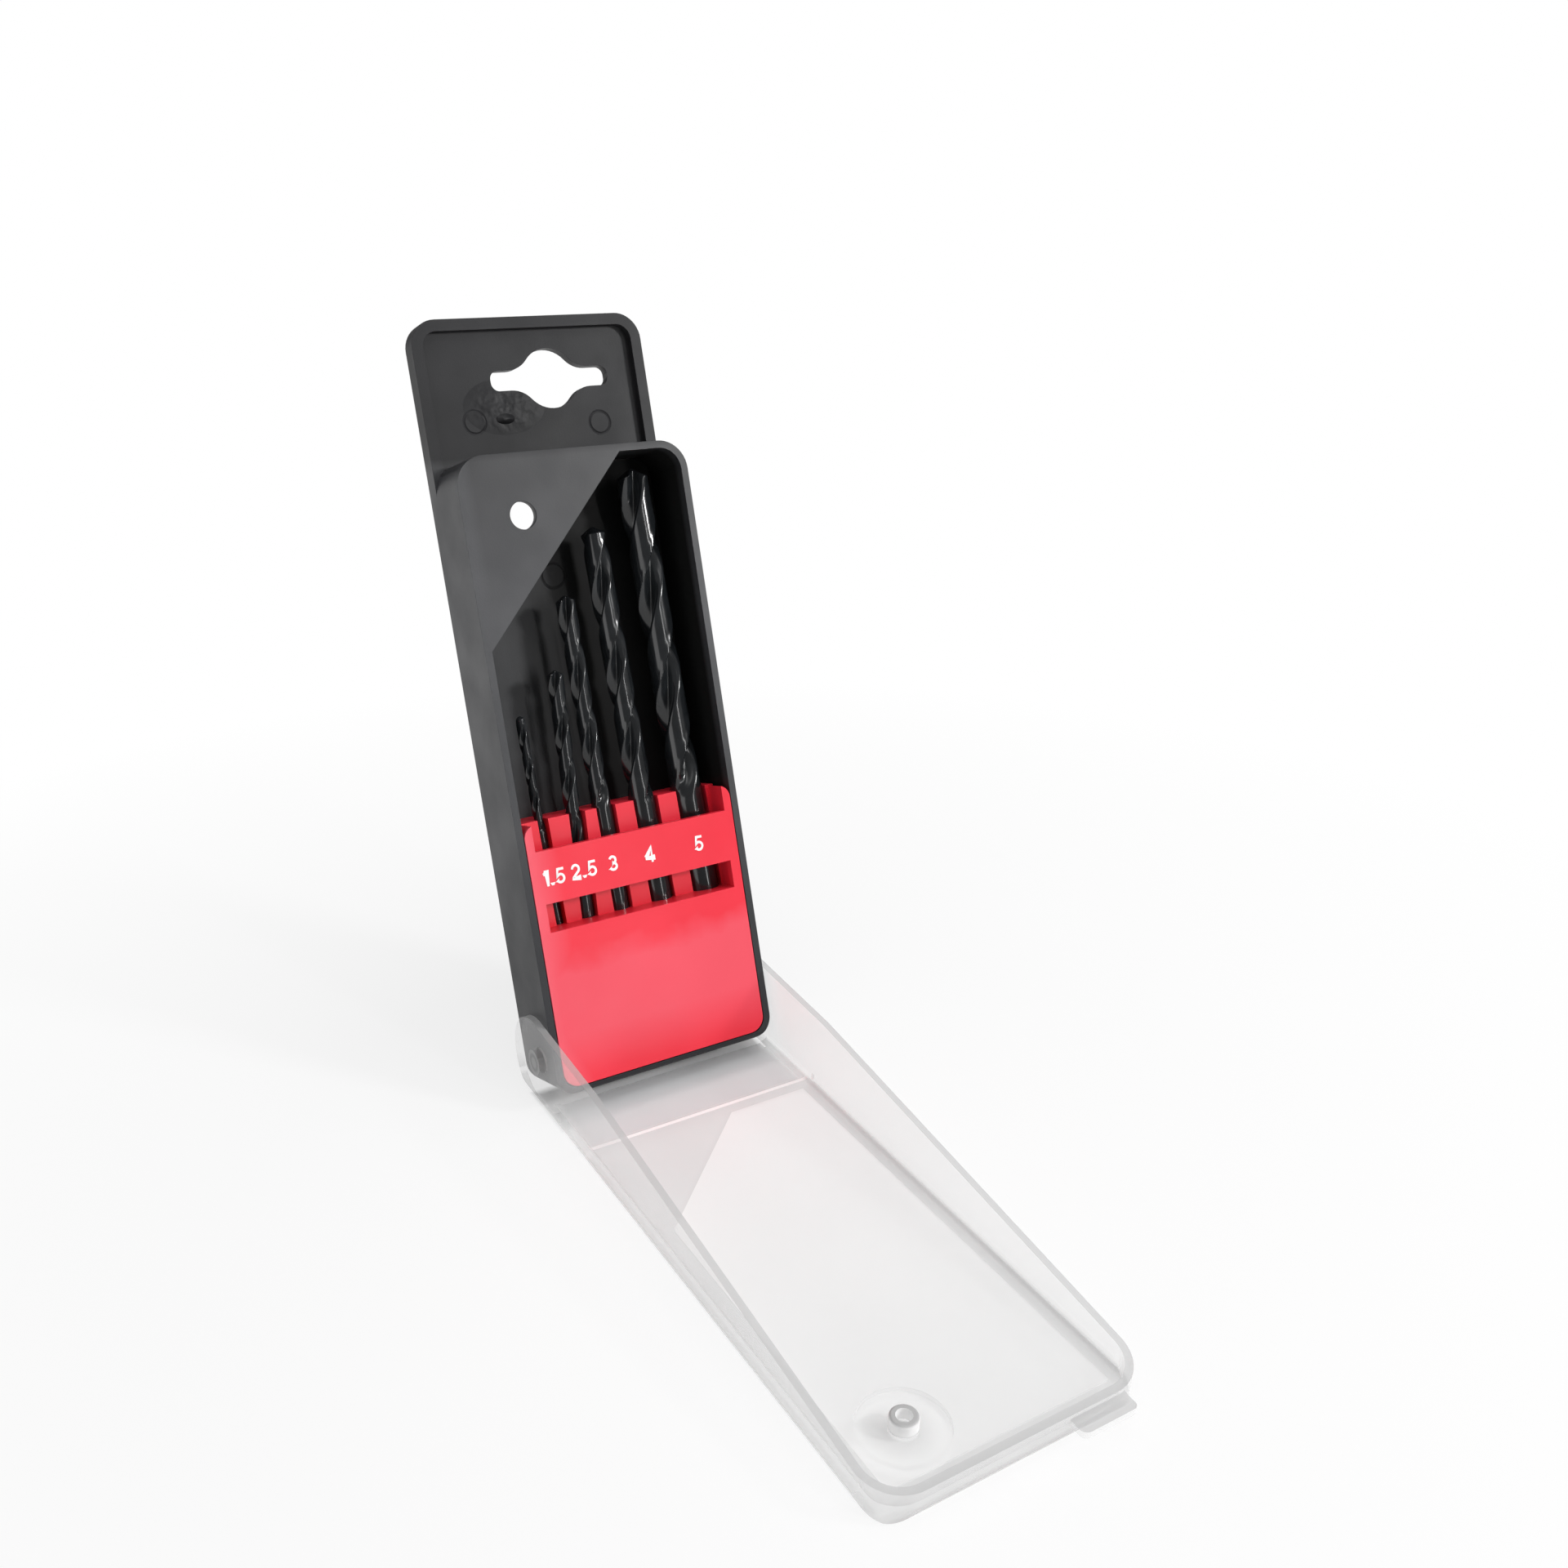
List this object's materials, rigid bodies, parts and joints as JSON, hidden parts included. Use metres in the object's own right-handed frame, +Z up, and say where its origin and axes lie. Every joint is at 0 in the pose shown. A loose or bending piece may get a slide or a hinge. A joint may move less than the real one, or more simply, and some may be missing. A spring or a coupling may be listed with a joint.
{
  "type": "drill bit case",
  "caption": "Open pocket case for twist drills: a leaning tray with hang tab and drill holder, hinged at its foot to a clear shallow lid lying flat.",
  "frame": {"origin": "middle of the lid's flat underside, on the ground", "axes": "+Z up, +X along the hinge axis to the right as seen from in front of the tray, the lid points along -Y and the tray leans back towards +Y"},
  "size_m": [0.0396, 0.1374, 0.1094],
  "materials": {
    "tray_black": "fine-grained moulded plastic",
    "lid_clear": "clear moulded plastic",
    "holder_red": "glossy moulded plastic",
    "drill_black": "black oxide on ground steel"
  },
  "bodies": {
    "lid": {"lid": "lid_clear"},
    "tray": {"tray": "tray_black", "drill_holder": "holder_red"},
    "drill_1_5": {"drill_1_5": "drill_black"},
    "drill_2_5": {"drill_2_5": "drill_black"},
    "drill_3": {"drill_3": "drill_black"},
    "drill_4": {"drill_4": "drill_black"},
    "drill_5": {"drill_5": "drill_black"}
  },
  "joints": [
    {"name": "lid_hinge", "type": "hinge", "parent": "lid", "child": "tray", "pos_m": [0, 0.0453, 0.00707], "axis": [1, 0, 0], "range_deg": [0, 109.92]},
    {"name": "drill_1_5_slide", "type": "slide", "parent": "tray", "child": "drill_1_5", "axis": [-0.0209, 0.3407, 0.9399], "range_m": [0, 0.0135]},
    {"name": "drill_2_5_slide", "type": "slide", "parent": "tray", "child": "drill_2_5", "axis": [0.0349, 0.3406, 0.9396], "range_m": [0, 0.011]},
    {"name": "drill_3_slide", "type": "slide", "parent": "tray", "child": "drill_3", "axis": [-0.0175, 0.3407, 0.94], "range_m": [0, 0.0075]},
    {"name": "drill_4_slide", "type": "slide", "parent": "tray", "child": "drill_4", "axis": [-0.0262, 0.3407, 0.9398], "range_m": [0, 0.0045]},
    {"name": "drill_5_slide", "type": "slide", "parent": "tray", "child": "drill_5", "axis": [-0.0227, 0.3407, 0.9399], "range_m": [0, 0.0019]}
  ]
}
